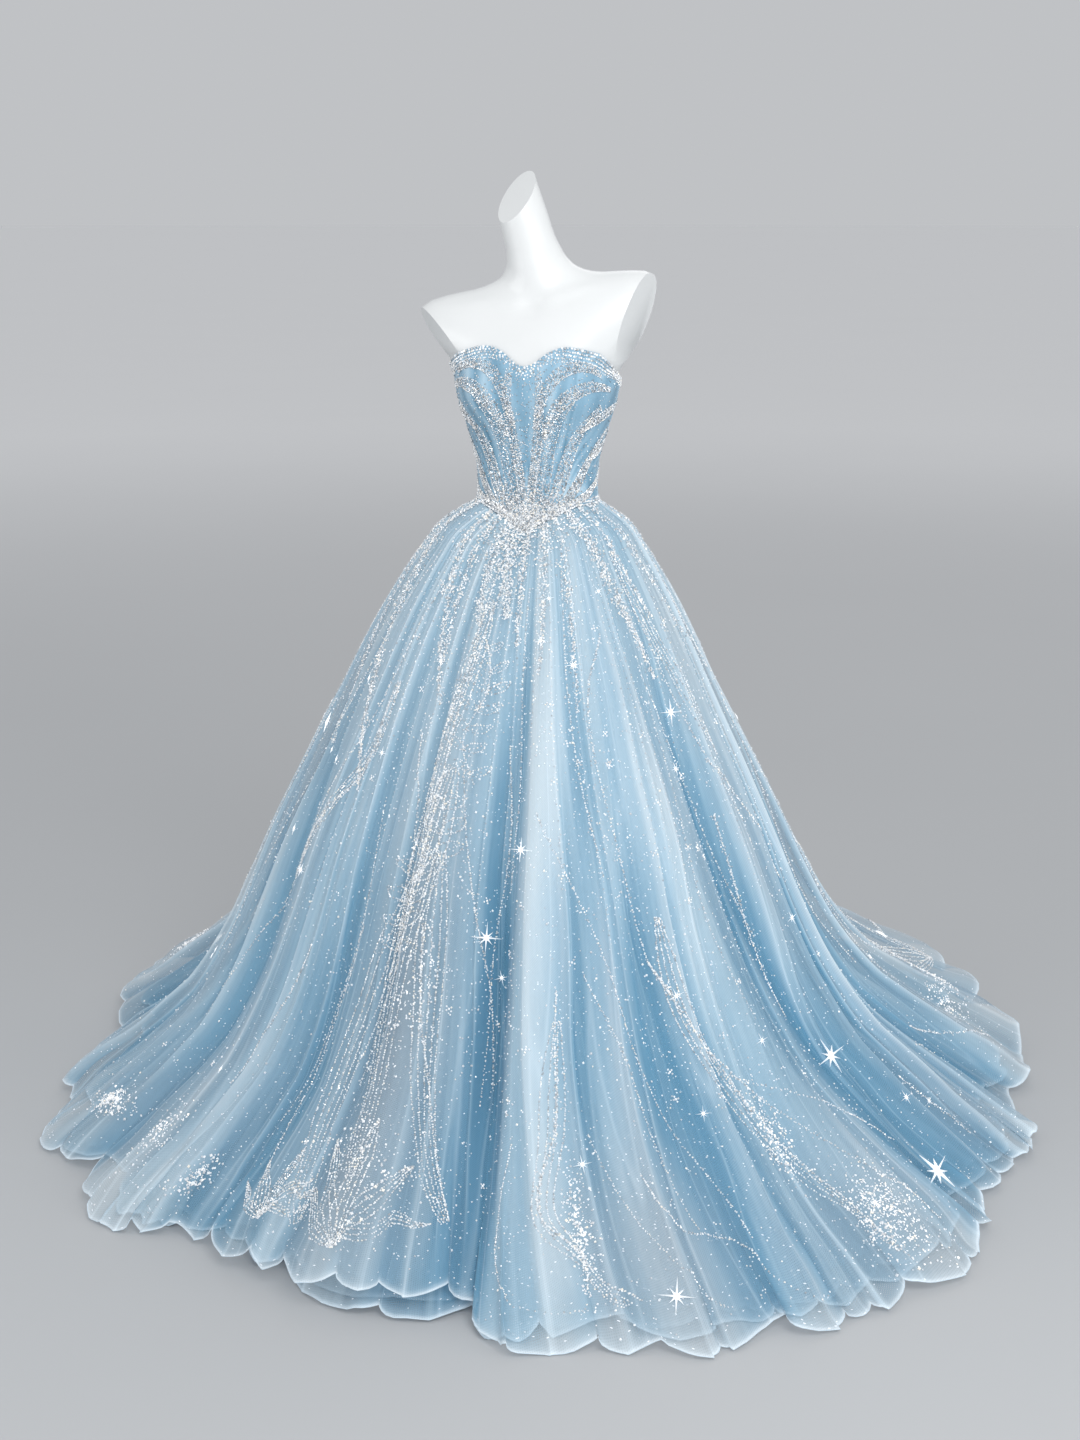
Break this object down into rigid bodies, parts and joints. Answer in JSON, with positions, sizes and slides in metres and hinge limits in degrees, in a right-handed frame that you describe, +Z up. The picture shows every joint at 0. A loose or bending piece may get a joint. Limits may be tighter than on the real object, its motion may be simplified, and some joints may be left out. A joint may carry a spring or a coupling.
{
  "type": "ball gown on a dress form",
  "caption": "Strapless tulle ball gown with a beaded bodice pointed at the waist and a full gathered skirt with a small train, on a limbless dress form with a round stand.",
  "frame": {"origin": "on the floor, at the centre of the underside of the stand's base plate", "axes": "+Z up, the gown faces -Y, +X is the wearer's left"},
  "size_m": [1.8458, 1.9703, 1.668],
  "materials": {
    "form_shell": "white gloss fibreglass",
    "stand_steel": "brushed steel",
    "bodice_cloth": "light blue satin under beaded tulle",
    "overskirt_tulle": "sheer light blue tulle",
    "layer_tulle": "sheer blue tulle",
    "underskirt_satin": "soft blue satin"
  },
  "bodies": {
    "root": {"form_torso": "form_shell", "stand_base": "stand_steel", "stand_pole": "stand_steel", "stand_collar": "stand_steel", "bodice_front_centre": "bodice_cloth", "bodice_side_front_left": "bodice_cloth", "bodice_side_front_right": "bodice_cloth", "bodice_back_left": "bodice_cloth", "bodice_back_right": "bodice_cloth", "overskirt_front": "overskirt_tulle", "overskirt_front_left": "overskirt_tulle", "overskirt_back_left": "overskirt_tulle", "overskirt_back": "overskirt_tulle", "overskirt_back_right": "overskirt_tulle", "overskirt_front_right": "overskirt_tulle", "tulle_layer_front": "layer_tulle", "tulle_layer_left": "layer_tulle", "tulle_layer_back": "layer_tulle", "tulle_layer_right": "layer_tulle", "underskirt_front": "underskirt_satin", "underskirt_left": "underskirt_satin", "underskirt_back": "underskirt_satin", "underskirt_right": "underskirt_satin"}
  },
  "joints": []
}
